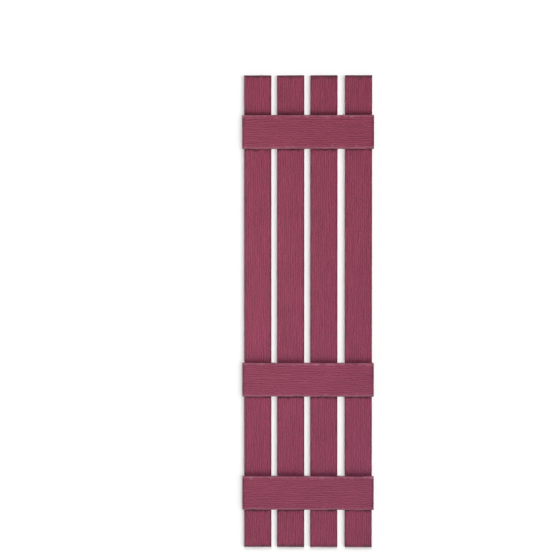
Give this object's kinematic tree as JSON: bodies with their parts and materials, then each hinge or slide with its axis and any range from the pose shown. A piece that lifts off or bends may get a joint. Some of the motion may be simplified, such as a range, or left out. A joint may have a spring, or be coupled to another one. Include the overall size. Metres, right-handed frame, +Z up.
{
  "type": "board and batten shutter",
  "caption": "Decorative window shutter of spaced, upright, hollow-backed moulded boards held together by battens across the front; fixed flat on a wall beside a window.",
  "frame": {"origin": "lower left corner of the shutter's back, on the wall face", "axes": "+X to the right across the boards, +Y into the wall, +Z up along the boards"},
  "size_m": [0.3747, 0.028, 1.346],
  "materials": {
    "board_moulding": "solid wine red moulded plastic with an embossed upright wood grain, satin",
    "batten_moulding": "solid wine red moulded plastic with an embossed level wood grain, satin",
    "screw_steel": "zinc-plated steel"
  },
  "bodies": {
    "root": {"left_board": "board_moulding", "inner_left_board": "board_moulding", "inner_right_board": "board_moulding", "right_board": "board_moulding", "bottom_batten": "batten_moulding", "middle_batten": "batten_moulding", "top_batten": "batten_moulding"}
  },
  "joints": []
}
